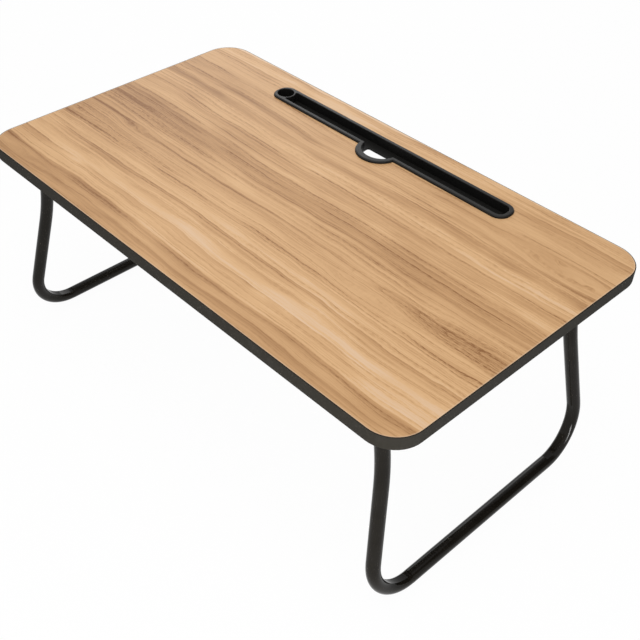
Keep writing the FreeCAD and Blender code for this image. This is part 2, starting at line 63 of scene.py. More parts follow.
class Wire:
    """An output of a node, which can be reckoned with like a number."""

    def __init__(self, nodes, socket):
        self.nodes = nodes
        self.socket = socket

    def reckon(self, operation, *values):
        return self.nodes.node("ShaderNodeMath", {"operation": operation}, dict(enumerate(values)))

    def __add__(self, other):
        return self.reckon("ADD", self, other)

    def __radd__(self, other):
        return self.reckon("ADD", other, self)

    def __sub__(self, other):
        return self.reckon("SUBTRACT", self, other)

    def __rsub__(self, other):
        return self.reckon("SUBTRACT", other, self)

    def __mul__(self, other):
        return self.reckon("MULTIPLY", self, other)

    def __rmul__(self, other):
        return self.reckon("MULTIPLY", other, self)

    def __truediv__(self, other):
        return self.reckon("DIVIDE", self, other)

    def __rtruediv__(self, other):
        return self.reckon("DIVIDE", other, self)

    def __pow__(self, other):
        return self.reckon("POWER", self, other)

    def __rpow__(self, other):
        return self.reckon("POWER", other, self)

    def __abs__(self):
        return self.reckon("ABSOLUTE", self)

    def floor(self):
        return self.reckon("FLOOR", self)

    def fraction(self):
        return self.reckon("FRACT", self)

    def root(self):
        return self.reckon("SQRT", self)

    def at_least(self, other):
        return self.reckon("MAXIMUM", self, other)

    def at_most(self, other):
        return self.reckon("MINIMUM", self, other)

    def rise(self, low, high):
        """0 at low, 1 at high, level beyond them and a smooth step between."""
        sockets = {"Value": self, "From Min": low, "From Max": high}
        return self.nodes.node("ShaderNodeMapRange", {"interpolation_type": "SMOOTHSTEP"}, sockets)


class Nodes:
    """A tree of nodes, and the one way that a node comes into it."""

    def __init__(self, tree):
        self.tree = tree
        tree.nodes.clear()

    def node(self, kind, settings=None, sockets=None, output=0):
        """Add a node: its settings first, then the values or links of its sockets.

        The result is the output that is asked for, or a list where output is a tuple of names.
        """
        node = self.tree.nodes.new(kind)
        for name, value in (settings or {}).items():
            if name == "stops":
                self.set_stops(node.color_ramp, value)
            else:
                setattr(node, name, value)
        for name, value in (sockets or {}).items():
            for one in value if isinstance(value, list) else [value]:
                if isinstance(one, Wire):
                    self.tree.links.new(one.socket, node.inputs[name])
                else:
                    node.inputs[name].default_value = one
        if isinstance(output, tuple):
            return [Wire(self, node.outputs[name]) for name in output]
        return Wire(self, node.outputs[output])

    @staticmethod
    def set_stops(ramp, stops):
        while len(ramp.elements) < len(stops):
            ramp.elements.new(0.5)
        for element, (place, colour) in zip(ramp.elements, stops):
            element.position = place
            element.color = rgba(colour)

    def vector(self, x=0.0, y=0.0, z=0.0):
        return self.node("ShaderNodeCombineXYZ", {}, {"X": x, "Y": y, "Z": z})

    def parts(self, vector):
        """The three numbers of a vector."""
        return self.node("ShaderNodeSeparateXYZ", {}, {"Vector": vector}, output=("X", "Y", "Z"))


def new_material(name):
    material = bpy.data.materials.new(name)
    material.use_nodes = True
    return material


class Finish(Nodes):
    """A procedural material, made of nodes on the object's own coordinates in millimetres."""

    def __init__(self, name):
        self.material = new_material(name)
        super().__init__(self.material.node_tree)
        place = self.node("ShaderNodeTexCoord", output="Object")
        self.x, self.y, self.z = (metres * (1 / MM) for metres in self.parts(place))

    def noise(self, place, detail=2.0, roughness=0.5):
        sockets = {"Vector": place, "Scale": 1.0, "Detail": detail, "Roughness": roughness}
        return self.node("ShaderNodeTexNoise", {"noise_dimensions": "3D"}, sockets)

    def cloud(self, size, detail=2.0, seed=0.0):
        """Noise with even lumps of about the given size in millimetres."""
        grid = 1 / size
        return self.noise(self.vector(self.x * grid + seed, self.y * grid, self.z * grid), detail)

    def streaks(self, place, along, aside, seed, start=0.0, detail=2.0, roughness=0.5):
        """Noise with so many lumps per millimetre along X and aside, where place is the way aside."""
        spot = self.vector(self.x * along + start, place * aside, seed)
        return self.noise(spot, detail, roughness)

    def ramp(self, value, stops):
        return self.node("ShaderNodeValToRGB", {"stops": stops}, {"Fac": value}, output="Color")

    def mix(self, share, first, second):
        sockets = {MIX_SHARE: share, MIX_FIRST: first, MIX_SECOND: second}
        return self.node("ShaderNodeMix", {"data_type": "RGBA"}, sockets, output=MIX_RESULT)

    def bump(self, height, distance, strength):
        sockets = {"Height": height, "Distance": distance, "Strength": strength}
        return self.node("ShaderNodeBump", {}, sockets)

    def close(self, sockets):
        """End in one shader, given the values or links of its sockets."""
        shader = self.node("ShaderNodeBsdfPrincipled", {}, sockets)
        self.node("ShaderNodeOutputMaterial", {}, {"Surface": shader}, output=())
        return self.material


def rgba(colour):
    return (*colour, 1.0)


def blend(first, second, share):
    """A colour between two colours."""
    return tuple(one + (other - one) * share for one, other in zip(first, second))


def dress(material, *names):
    """Give CAD nodes a finish in place of their plain one."""
    for name in names:
        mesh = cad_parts[name].data
        mesh.materials.clear()
        mesh.materials.append(material)


# Sizes and colours that a user would change

def colour_prop(name, description, default):
    return bpy.props.FloatVectorProperty(
        name=name, description=description, default=default, subtype="COLOR", size=3, min=0.0, max=1.0)


def power_prop(name, description, default):
    return bpy.props.FloatProperty(
        name=name, description=description, default=default, unit="POWER", min=0.0)


def length_prop(name, description, default):
    return bpy.props.FloatProperty(
        name=name, description=description, default=default, unit="LENGTH", min=0.0)


class BoardLook(bpy.types.PropertyGroup):
    light_wood: colour_prop("Light wood", "Palest early wood of the printed grain", (0.765, 0.474, 0.240))
    middle_wood: colour_prop("Middle wood", "Usual tone of the printed grain", (0.585, 0.334, 0.155))
    dark_wood: colour_prop("Dark wood", "Late wood in the growth lines", (0.285, 0.128, 0.044))
    # Colour of the painted highlight along the edge of the print
    edge_highlight: colour_prop("Trimmed edge", "Cut edge of the printed layer", (0.80, 0.58, 0.40))
    corner: length_prop("Corner", "Corner radius of the printed layer", 31.0 * MM)
    band: colour_prop("Edge band", "Plastic of the edge band", (0.0170, 0.0152, 0.0120))
    backing: colour_prop("Backing", "Paper laminate on the underside", (0.60, 0.57, 0.52))
    fibreboard: colour_prop("Fibreboard", "Cut core of the board", (0.42, 0.29, 0.17))


class MetalLook(bpy.types.PropertyGroup):
    tube: colour_prop("Tube coat", "Gloss powder coat on the legs", (0.0064, 0.0054, 0.0040))
    sheet: colour_prop("Bracket coat", "Satin powder coat on the brackets", (0.012, 0.012, 0.012))
    zinc: colour_prop("Zinc", "Plating of rivets and screws", (0.58, 0.58, 0.56))
    zinc_tint: colour_prop("Zinc tint", "Duller patches of the plating", (0.50, 0.49, 0.43))


class PlasticLook(bpy.types.PropertyGroup):
    tray: colour_prop("Tray", "Moulded plastic of the tray", (0.0090, 0.0086, 0.0080))
    # The rim colour is a painted sheen on the top of the tray's rim, mottled by wear
    rim: colour_prop("Tray rim", "Rubbed top of the tray's rim", (0.022, 0.021, 0.020))
    plug: colour_prop("Plug", "Moulded plastic of the end plugs", (0.020, 0.020, 0.020))
    washer: colour_prop("Washer", "Nylon of the hinge washers", (0.72, 0.71, 0.67))


class ScrewSizes(bpy.types.PropertyGroup):
    head_radius: length_prop("Head radius", "Radius of the pan head", 3.3 * MM)
    head_height: length_prop("Head height", "Height of the pan head", 2.2 * MM)
    shank_radius: length_prop("Shank radius", "Radius over the thread", 1.75 * MM)
    length: length_prop("Length", "Length under the head", 11.0 * MM)
    recess_width: length_prop("Recess width", "Span of the cross recess", 3.6 * MM)
    recess_depth: length_prop("Recess depth", "Depth of the cross recess", 1.3 * MM)


class StudioLook(bpy.types.PropertyGroup):
    floor: colour_prop("Floor", "Pale floor", (0.86, 0.86, 0.86))
    back_power: power_prop("Back lamp", "Power of the large soft lamp behind the table", 5.5)
    strip_power: power_prop("Strip lamp", "Power of the low lamp that only glints on the legs", 11.0)
    top_power: power_prop("Top lamp", "Power of the large soft lamp over the board", 12.0)
    front_power: power_prop("Front lamp", "Power of the low lamp that lights the edge and the legs", 17.0)
    sky: bpy.props.FloatProperty(name="Sky", description="Light from all round", default=0.505, min=0.0)


# Finishes of the board

# Strips of the printed wood across the board, from its front edge to its back edge in millimetres: 1 is
# early wood and 0 is late wood. A strip ends sharply where two places lie close together.
STRIPS = (
    (-175, 0.34), (-158, 0.38), (-146, 0.27), (-144, 0.74), (-131, 0.80), (-112, 0.77), (-96, 0.68),
    (-88, 0.78), (-76, 0.58), (-64, 0.56), (-52, 0.52), (-40.5, 0.48), (-39, 0.24), (-37, 0.52),
    (-30, 0.62), (-18, 0.47), (-11, 0.51), (-9, 0.34), (2, 0.31), (12, 0.42), (19, 0.48), (22, 0.62),
    (31, 0.70), (38, 0.50), (46, 0.56), (57, 0.76), (70, 0.82), (72, 0.38), (82, 0.58), (104, 0.46),
    # The pale stop at the back edge, 175, is partly print and partly painted sheen of the far part of the
    # board
    (128, 0.50), (175, 0.82),
)

# Knots that the growth lines part round: place, reach along and across in millimetres, and strength
KNOTS = (
    (-205, -38, 34, 7, 0.8),
    (262, 104, 75, 15, 0.9),
    (150, -56, 60, 9, 0.7),
    (-250, -158, 40, 8, 0.8),
)

# How far out the parting round a knot ends, as the square of its reach
KNOT_FADE = 2.2

# How the grain wanders: swings per millimetre along and across the board, where the noise starts, its seed
# and detail, and how far it carries the grain in millimetres
WANDERINGS = (
    (0.0042, 0.009, 3.7, 1.3, 1.0, 20.0),
    (0.019, 0.05, 9.1, 4.2, 2.0, 6.0),
    (0.06, 0.30, 0.0, 7.7, 2.0, 1.2),
)

# Sets of growth lines, and of soft bands: millimetres from year to year, sharpness, seed and weight
YEARS = (
    (15.0, 12.0, 2.9, 1.0),
    (6.2, 7.0, 6.1, 0.76),
    (3.3, 5.0, 8.3, 0.60),
)
BANDS = (
    (17.0, 2.0, 4.4, 0.62),
    (9.0, 1.8, 9.7, 0.42),
)

# Pointed figures where the print cuts the years at a slant: place of the tip, reach to the right (to the
# left if it is negative), half width and darkness
FLAMES = (
    (160, 88, 150, 15, 0.9),
    (110, -42, 200, 20, 1.6),
    (-50, -16, -230, 13, 1.1),
    (-70, -64, -220, 12, 1.0),
)

# The painted highlight along the edge of the print: where it starts and is full, in millimetres past the
# outline, and its share
EDGE_HIGHLIGHT_START, EDGE_HIGHLIGHT_FULL, EDGE_HIGHLIGHT_SHARE = -1.3, -0.5, 0.45


def grain_place(finish):
    """Millimetres across the board, parted by the knots and wandering as the grain does."""
    x, y = finish.x, finish.y
    place = y
    for knot_x, knot_y, reach_along, reach_across, strength in KNOTS:
        aside = y - knot_y
        near = ((x - knot_x) / reach_along) ** 2.0 + (aside / reach_across) ** 2.0
        place = place - aside * strength * near.rise(KNOT_FADE, 0.0)
    for swings_along, swings_across, start, seed, detail, reach in WANDERINGS:
        swing = finish.streaks(y, swings_along, swings_across, seed, start, detail) - 0.5
        place = place + swing * reach
    return place


def growth_lines(finish, across, rows):
    """Lines where a year's growth ends: a soft tail and a dark edge.

    Years differ in weight, and fade along the board.
    """
    total = 0.0
    for pitch, sharpness, seed, share in rows:
        wander = finish.noise(finish.vector(across * (0.35 / pitch), 0.0, seed), detail=1.0) * 3.0
        years = across * (1 / pitch) + wander
        year = {"W": years.floor() + seed}
        weight = finish.node("ShaderNodeTexWhiteNoise", {"noise_dimensions": "1D"}, year, output="Value")
        growth = years.fraction()
        shown = finish.streaks(across, 0.009, 0.6 / pitch, seed, start=seed).rise(0.34, 0.56)
        edge = growth ** (sharpness / 4) * 0.32 + growth ** sharpness * 0.68
        total = total + edge * growth.rise(1.0, 1.0 - 0.6 / pitch) * weight ** 1.3 * shown * share
    return total


def flame(finish, along, aside):
    """Nested arcs that open away from their tip, darker than the wood round them."""
    depth = along - aside ** 2.0
    arcs = (depth * 5.5 + finish.noise(finish.vector(along * 3.0, aside, 29.0))).fraction() ** 5.0
    return depth.rise(0.0, 0.45) * 0.13 + arcs * depth.rise(0.0, 0.12) * 0.16


def edge_highlight_mask(finish, length, depth, corner):
    """1 along the rounded outline of the print, where its painted highlight goes, and 0 inside it."""
    past_x = abs(finish.x) - (length / 2 - corner)
    past_y = abs(finish.y) - (depth / 2 - corner)
    round_part = (past_x.at_least(0.0) ** 2.0 + past_y.at_least(0.0) ** 2.0).root()
    outward = round_part + past_x.at_least(past_y).at_most(0.0) - corner
    return outward.rise(EDGE_HIGHLIGHT_START, EDGE_HIGHLIGHT_FULL)


def wood_laminate(look, length, depth):
    """Printed wood grain along X, under a satin wear layer."""
    finish = Finish("wood_laminate")
    x, y = finish.x, finish.y
    across = grain_place(finish)

    # Broad strips, and the growth lines, figures and bands inside them
    stops = [(place / depth + 0.5, (tone,) * 3) for place, tone in STRIPS]
    strips = finish.node("ShaderNodeRGBToBW", {}, {"Color": finish.ramp(across / depth + 0.5, stops)})
    lines = growth_lines(finish, across, YEARS)
    for tip_x, tip_y, reach, half, darkness in FLAMES:
        lines = lines + flame(finish, (x - tip_x) / reach, (across - tip_y) / half) * darkness
    dashes = finish.streaks(across, 0.2, 1.1, seed=19.0, roughness=0.6).rise(0.36, 0.62)
    lines = lines * (0.6 + dashes * 0.8) + growth_lines(finish, across, BANDS)

    # Long fibres, short pores in patches, and a slow change of tone
    fibre = finish.streaks(across, 0.012, 0.7, seed=11.0, detail=4.0, roughness=0.66) - 0.5
    threads = finish.streaks(across, 0.03, 1.9, seed=13.0, start=5.0, roughness=0.6)
    patches = finish.streaks(y, 0.01, 0.04, seed=17.0).rise(0.38, 0.60)
    pores = threads.rise(0.58, 0.74) * patches
    blush = finish.streaks(across, 0.011, 0.075, seed=23.0) - 0.5

    # The tone is a little darker towards the left end, and the left back corner is paler: a painted sheen
    left = x.rise(0.0, -300.0)
    left_tone_and_sheen = left * 0.17 - left * y.rise(100.0, 165.0) * 0.30
    tone = strips * 0.86 + 0.295 + fibre * 0.54 + blush * 0.36 - lines * 0.87 - pores * 0.28 - left_tone_and_sheen
    wood = finish.ramp(tone, (
        (0.00, look.dark_wood),
        (0.20, blend(look.dark_wood, look.middle_wood, 0.5)),
        (0.46, look.middle_wood),
        (0.80, look.light_wood),
        # The whitened top stop also carries the painted sheen of the left back corner
        (1.00, blend(look.light_wood, WHITE, 0.15)),
    ))
    # A painted highlight along the outline of the print
    edge_highlight = edge_highlight_mask(finish, length, depth, look.corner / MM) * EDGE_HIGHLIGHT_SHARE
    return finish.close({
        "Base Color": finish.mix(edge_highlight, wood, rgba(look.edge_highlight)),
        "Roughness": 0.42 + fibre * 0.12 + pores * 0.12,
        "Specular IOR Level": 0.16,
        "Normal": finish.bump(tone * 0.35 - pores * 0.8, 0.05 * MM, strength=0.35),
    })


def edge_plastic(look):
    """Extruded edge band: fine draw lines along it, and a little scuffed."""
    finish = Finish("edge_plastic")
    draw = finish.noise(finish.vector(finish.x * 0.01, finish.y * 0.01, finish.z * 3.2), detail=3.0)
    scuff = finish.cloud(9.0, detail=4.0, seed=2.0).rise(0.52, 0.74)
    grime = finish.cloud(60.0, detail=3.0, seed=8.0)
    share = scuff * 0.28 + (draw - 0.5) * 0.25 + (grime - 0.4) * 0.2
    return finish.close({
        "Base Color": finish.mix(share, rgba(look.band), rgba(blend(look.band, WHITE, 0.02))),
        "Roughness": 0.72 + (draw - 0.5) * 0.2 + scuff * 0.06,
        "Specular IOR Level": 0.10,
        "Normal": finish.bump(draw, 0.04 * MM, strength=0.5),
    })


def backing_paper(look):
    """Matt paper laminate with faint mottling and fibres."""
    finish = Finish("backing_laminate")
    mottle = finish.cloud(14.0, detail=4.0)
    fleck = finish.streaks(finish.y, 0.25, 1.4, seed=3.0, detail=3.0).rise(0.62, 0.72)
    share = mottle * 0.5 + fleck * 0.22
    return finish.close({
        "Base Color": finish.mix(share, rgba(look.backing), rgba(blend(look.backing, BLACK, 0.28))),
        "Roughness": 0.62 + (mottle - 0.5) * 0.2,
        "Normal": finish.bump(mottle + fleck * 0.3, 0.04 * MM, strength=0.4),
    })


def cut_fibreboard(look):
    """Raw cut of the core: pressed fibres in clumps."""
    finish = Finish("fibreboard")
    grit = finish.cloud(0.8, detail=4.0)
    clump = finish.cloud(6.0, detail=3.0, seed=5.0)
    share = grit * 0.6 + (clump - 0.5) * 0.5
    return finish.close({
        "Base Color": finish.mix(share, rgba(look.fibreboard), rgba(blend(look.fibreboard, BLACK, 0.45))),
        "Roughness": 0.86,
        "Normal": finish.bump(grit, 0.15 * MM, strength=0.7),
    })


# Finishes of the tray, legs and hinges

def tray_plastic(look, surface, top):
    """Moulded plastic: spark texture, deep black but for the rim's top, which is paler: a painted sheen,
    mottled by wear.
    """
    finish = Finish("tray_plastic")
    # Painted sheen: the top of the rim is paler as if it caught the light, mottled by a wear cloud
    wear_and_sheen = finish.z.rise(surface + 0.45 * (top - surface), top)
    spark = finish.cloud(0.55, detail=3.0)
    flow = finish.cloud(40.0, detail=3.0, seed=4.0)
    wear = finish.cloud(5.0, detail=4.0, seed=9.0)
    share = wear_and_sheen * (0.72 + wear * 0.35) + (flow - 0.5) * 0.1
    return finish.close({
        "Base Color": finish.mix(share, rgba(look.tray), rgba(look.rim)),
        "Roughness": 0.54 - wear_and_sheen * 0.18 + (spark - 0.5) * 0.14,
        "Specular IOR Level": 0.12,
        "Normal": finish.bump(spark, 0.06 * MM, strength=0.45),
    })


def gloss_coat(look):
    """Powder coat on the tubes: a fine orange peel, and rubbed where the bars stand on the floor."""
    finish = Finish("black_tube")
    peel = finish.cloud(1.1, detail=1.0)
    swell = finish.cloud(5.0, seed=3.0)
    streak = finish.cloud(22.0, detail=4.0, seed=6.0)
    wear_and_sheen = finish.z.rise(2.2, 0.2) * finish.cloud(4.0, detail=5.0, seed=12.0).rise(0.42, 0.60)
    share = wear_and_sheen * 0.8 + (streak - 0.4) * 0.12
    return finish.close({
        "Base Color": finish.mix(share, rgba(look.tube), rgba(blend(look.tube, WHITE, 0.05))),
        "Roughness": 0.11 + (streak - 0.5) * 0.08 + wear_and_sheen * 0.35,
        "Specular IOR Level": 0.12,
        "Normal": finish.bump(peel * 0.6 + swell, 0.005 * MM, strength=0.5),
    })


def satin_coat(look):
    """Powder coat on pressed sheet: coarser and duller than on the tubes."""
    finish = Finish("black_sheet")
    grain = finish.cloud(0.9, detail=3.0)
    streak = finish.cloud(9.0, detail=4.0, seed=6.0)
    return finish.close({
        "Base Color": finish.mix(streak * 0.5, rgba(look.sheet), rgba(blend(look.sheet, WHITE, 0.02))),
        "Roughness": 0.40 + (grain - 0.5) * 0.2,
        "Specular IOR Level": 0.30,
        "Normal": finish.bump(grain, 0.05 * MM, strength=0.6),
    })


def zinc_plate(look):
    """Bright zinc plating with a faint tint and fine scratches."""
    finish = Finish("zinc_steel")
    patch = finish.cloud(2.2, detail=3.0)
    scratch = finish.noise(finish.vector(finish.x * 6.0, finish.y * 0.6, finish.z * 6.0), detail=3.0)
    return finish.close({
        "Base Color": finish.mix(patch * 0.7, rgba(look.zinc), rgba(look.zinc_tint)),
        "Metallic": 1.0,
        "Roughness": 0.30 + (scratch - 0.5) * 0.22 + (patch - 0.5) * 0.1,
        "Normal": finish.bump(scratch, 0.02 * MM, strength=0.4),
    })


def moulded(name, colour, roughness):
    """Plain small mouldings: a fine texture and a little flow marking."""
    finish = Finish(name)
    spark = finish.cloud(0.5, detail=3.0)
    flow = finish.cloud(6.0, detail=3.0, seed=4.0)
    return finish.close({
        "Base Color": finish.mix(flow * 0.6, rgba(colour), rgba(blend(colour, BLACK, 0.3))),
        "Roughness": roughness + (spark - 0.5) * 0.16,
        "Normal": finish.bump(spark, 0.04 * MM, strength=0.4),
    })


# Screws

# The power that rounds a screw's head, and the width of its slots as a share of the recess's span
HEAD_POWER = 0.55
SLOT_SHARE = 0.24

# The core's radius and the ridge's height, as shares of the radius over the thread
CORE_SHARE = 0.74
RIDGE_SHARE = 0.22

# The radius of the tip, and of the thread's line at its start and end, as shares of the core's
TIP_SHARE = 0.55
THREAD_START = 1.06
THREAD_END = 0.72

# The turns of the thread, and its length as a share of the shank's
THREAD_TURNS = 8.0
THREAD_LENGTH = 0.92

# How far each screw's recess is turned from that of the one before, in radians
RECESS_TURN = 0.9

# Corners of the recess that come out closer than this are one
SAME_PLACE = 0.004 * MM

# How far above its lower end a CAD screw's vertices are counted as its head
HEAD_SLICE = 0.5 * MM


class Grower(Nodes):
    """A Geometry Nodes tree that is given a geometry and named values."""

    def __init__(self, name, values):
        super().__init__(bpy.data.node_groups.new(name, "GeometryNodeTree"))
        face = self.tree.interface
        face.new_socket("Geometry", in_out="INPUT", socket_type="NodeSocketGeometry")
        face.new_socket("Geometry", in_out="OUTPUT", socket_type="NodeSocketGeometry")
        self.identifiers = {}
        for label, kind in values.items():
            self.identifiers[label] = face.new_socket(label, in_out="INPUT", socket_type=kind).identifier
        labels = ("Geometry", *values)
        self.given = dict(zip(labels, self.node("NodeGroupInput", output=labels)))

    def finish(self, geometry):
        self.node("NodeGroupOutput", {}, {"Geometry": geometry}, output=())


def screw_tree():
    """A pan-head screw with a cross recess, its head down, on every point."""
    labels = ("Head Radius", "Head Height", "Shank Radius", "Length", "Recess Width", "Recess Depth")
    kinds = dict.fromkeys(labels, "NodeSocketFloat")
    grower = Grower("pan_head_screws", {**kinds, "Finish": "NodeSocketMaterial"})
    radius, height, shank_radius, length, width, depth = (grower.given[label] for label in labels)

    # The head: a ball pressed to a flat seat and a domed top
    ball = grower.node("GeometryNodeMeshUVSphere", {}, {"Segments": 32, "Rings": 24, "Radius": 1.0})
    x, y, z = grower.parts(grower.node("GeometryNodeInputPosition"))
    dome = abs(z.at_most(0.0)) ** HEAD_POWER
    pressed = grower.vector(x * radius, y * radius, dome * (height * -1.0))
    head = grower.node("GeometryNodeSetPosition", {}, {"Geometry": ball, "Position": pressed})

    # The cross recess, cut from below
    slot = width * SLOT_SHARE
    cutters = []
    for across, along in ((width, slot), (slot, width)):
        bar = grower.node("GeometryNodeMeshCube", {}, {"Size": grower.vector(across, along, depth * 2.0)})
        lowered = {"Geometry": bar, "Translation": grower.vector(z=height * -1.0)}
        cutters.append(grower.node("GeometryNodeTransform", {}, lowered))
    cut = grower.node("GeometryNodeMeshBoolean", {"operation": "DIFFERENCE", "solver": "EXACT"},
                      {"Mesh 1": head, "Mesh 2": cutters})
    cut = grower.node("GeometryNodeMergeByDistance", {}, {"Geometry": cut, "Distance": SAME_PLACE})

    # The shank and its thread, up into the board
    core = shank_radius * CORE_SHARE
    shank = grower.node("GeometryNodeMeshCone", {}, {
        "Vertices": 20, "Side Segments": 6,
        "Radius Top": core * TIP_SHARE, "Radius Bottom": core, "Depth": length})
    helix = grower.node("GeometryNodeCurveSpiral", {}, {
        "Resolution": 18, "Rotations": THREAD_TURNS,
        "Start Radius": core * THREAD_START, "End Radius": core * THREAD_END,
        "Height": length * THREAD_LENGTH})
    ridge = grower.node("GeometryNodeCurvePrimitiveCircle", {}, {
        "Resolution": 3, "Radius": shank_radius * RIDGE_SHARE})
    thread = grower.node("GeometryNodeCurveToMesh", {}, {
        "Curve": helix, "Profile Curve": ridge, "Fill Caps": True})
    screw = grower.node("GeometryNodeJoinGeometry", {}, {"Geometry": [cut, shank, thread]})
    smooth = grower.node("GeometryNodeSetShadeSmooth", {}, {"Geometry": screw, "Shade Smooth": True})

    # One screw on every point
    points = grower.node("GeometryNodeMeshToPoints", {}, {"Mesh": grower.given["Geometry"]})
    turn = grower.vector(z=grower.node("GeometryNodeInputIndex") * RECESS_TURN)
    placed = grower.node("GeometryNodeInstanceOnPoints", {}, {
        "Points": points, "Instance": smooth, "Rotation": turn})
    real = grower.node("GeometryNodeRealizeInstances", {}, {"Geometry": placed})
    dressed = {"Geometry": real, "Material": grower.given["Finish"]}
    grower.finish(grower.node("GeometryNodeSetMaterial", {}, dressed))
    return grower


def grow(name, points, grower, values):
    """Run a tree on a cloud of points and keep the result as a plain mesh object."""
    seed = bpy.data.meshes.new(f"{name}_points")
    seed.from_pydata(points, [], [])
    holder = bpy.data.objects.new(name, seed)
    bpy.context.scene.collection.objects.link(holder)
    modifier = holder.modifiers.new("grow", "NODES")
    modifier.node_group = grower.tree
    for label, value in values.items():
        modifier[grower.identifiers[label]] = value
    bpy.context.view_layer.update()
    evaluated = holder.evaluated_get(bpy.context.evaluated_depsgraph_get())
    mesh = bpy.data.meshes.new_from_object(evaluated)
    holder.modifiers.remove(modifier)
    holder.data = mesh
    bpy.data.meshes.remove(seed)
    if not mesh.polygons:
        raise RuntimeError(f"{name} came out empty")
    return holder


def head_places():
    """The middle of each CAD screw head's lower end: there are two heads at each corner of the board."""
    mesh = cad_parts["bracket_screws"].data
    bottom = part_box("bracket_screws")[0].z
    heads = [vertex.co for vertex in mesh.vertices if vertex.co.z < bottom + HEAD_SLICE]
    places = []
    for side in (-1, 1):
        for end in (-1, 1):
            corner = [spot for spot in heads if spot.x * side > 0 and spot.y * end > 0]
            middle = sum(spot.x for spot in corner) / len(corner)
            left = [spot for spot in corner if spot.x < middle]
            right = [spot for spot in corner if spot.x >= middle]
            for head in (left, right):
                spread = [[spot[axis] for spot in head] for axis in (0, 1)]
                places.append((*((min(line) + max(line)) / 2 for line in spread), bottom))
    return places


# Operators

class LAPTABLE_OT_board(bpy.types.Operator):
    """Give the board its wood grain, edge band, backing and core"""
    bl_idname = "laptable.board"
    bl_label = "Board"

    def execute(self, context):
        look = context.scene.laptable_board
        low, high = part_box("top_laminate")
        length, depth = ((high[axis] - low[axis]) / MM for axis in (0, 1))
        dress(wood_laminate(look, length, depth), "top_laminate")
        dress(edge_plastic(look), "edge_band")
        dress(backing_paper(look), "underside_laminate")
        dress(cut_fibreboard(look), "core_board")
        return {"FINISHED"}


class LAPTABLE_OT_tray(bpy.types.Operator):
    """Give the moulded tray its texture"""
    bl_idname = "laptable.tray"
    bl_label = "Tray"

    def execute(self, context):
        surface, top = (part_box(name)[1].z / MM for name in ("top_laminate", "tablet_tray"))
        dress(tray_plastic(context.scene.laptable_plastic, surface, top), "tablet_tray")
        return {"FINISHED"}


class LAPTABLE_OT_legs(bpy.types.Operator):
    """Give the tube legs their gloss coat, and the end plugs their plastic"""
    bl_idname = "laptable.legs"
    bl_label = "Legs"

    def execute(self, context):
        dress(gloss_coat(context.scene.laptable_metal), "right_leg_tube", "left_leg_tube")
        plugs = [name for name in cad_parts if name.endswith("end_plug")]
        dress(moulded("plug_plastic", context.scene.laptable_plastic.plug, roughness=0.5), *plugs)
        return {"FINISHED"}


class LAPTABLE_OT_hinges(bpy.types.Operator):
    """Give the brackets, rivets and washers their finishes"""
    bl_idname = "laptable.hinges"
    bl_label = "Hinges"

    def execute(self, context):
        brackets = [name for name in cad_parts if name.endswith("bracket")]
        rivets = [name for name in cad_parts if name.endswith("rivet")]
        nylon = moulded("washer_plastic", context.scene.laptable_plastic.washer, roughness=0.45)
        dress(satin_coat(context.scene.laptable_metal), *brackets)
        dress(zinc_plate(context.scene.laptable_metal), *rivets)
        dress(nylon, "hinge_washers")
        return {"FINISHED"}


class LAPTABLE_OT_screws(bpy.types.Operator):
    """Put cross-recessed screws in place of the plain ones, with the zinc of the rivets"""
    bl_idname = "laptable.screws"
    bl_label = "Screws"

    def execute(self, context):
        sizes = context.scene.laptable_screws
        seats = [(x, y, z + sizes.head_height) for x, y, z in head_places()]
        screws = grow("cross_screws", seats, screw_tree(), {
            "Head Radius": sizes.head_radius,
            "Head Height": sizes.head_height,
            "Shank Radius": sizes.shank_radius,
            "Length": sizes.length,
            "Recess Width": sizes.recess_width,
            "Recess Depth": sizes.recess_depth,
            "Finish": bpy.data.materials["zinc_steel"],
        })
        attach(screws, "table_top")
        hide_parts("bracket_screws")
        return {"FINISHED"}


# Studio

# The camera stands where the photograph was taken from: its place in metres, the direction it looks
# back from, its roll, and the lens in photograph pixels.
CAMERA = {"place": (0.6144, -0.5956, 0.8313), "azimuth": 46.821, "elevation": 40.612, "roll": 1.027,
          "focal": 1021.8, "middle": (277.17, 310.46), "image": 640}

# Lamps: place and the point that they face, width and height in metres, and whether they give light and
# glints. The low ones stay below the board, so that its top doesn't mirror them.
LAMPS = {
    "back": ((-1.25, 1.05, 0.9), (0, 0, 0.2), 0.9, 0.9, True, True),
    "strip": ((1.3, -0.1, 0.125), (0.29, -0.1, 0.125), 0.7, 0.2, False, True),
    "top": ((0.3, -0.4, 1.85), (0, 0, 0.2), 1.2, 1.2, True, True),
    "front": ((0.8, -0.95, 0.13), (0.2, -0.1, 0.13), 0.6, 0.16, True, False),
}

# Half the floor's side in metres, and the share of plain white in what is seen of it: the rest holds the
# shadow
FLOOR_REACH = 6.0
FLOOR_WHITE = 0.965

# The black card at the back right: its sides in metres, and its colour
CARD_LEFT, CARD_RIGHT, CARD_BACK, CARD_LOW, CARD_HIGH = 0.33, 1.90, 0.95, 0.03, 1.60
CARD_COLOUR = (0.02, 0.02, 0.02)


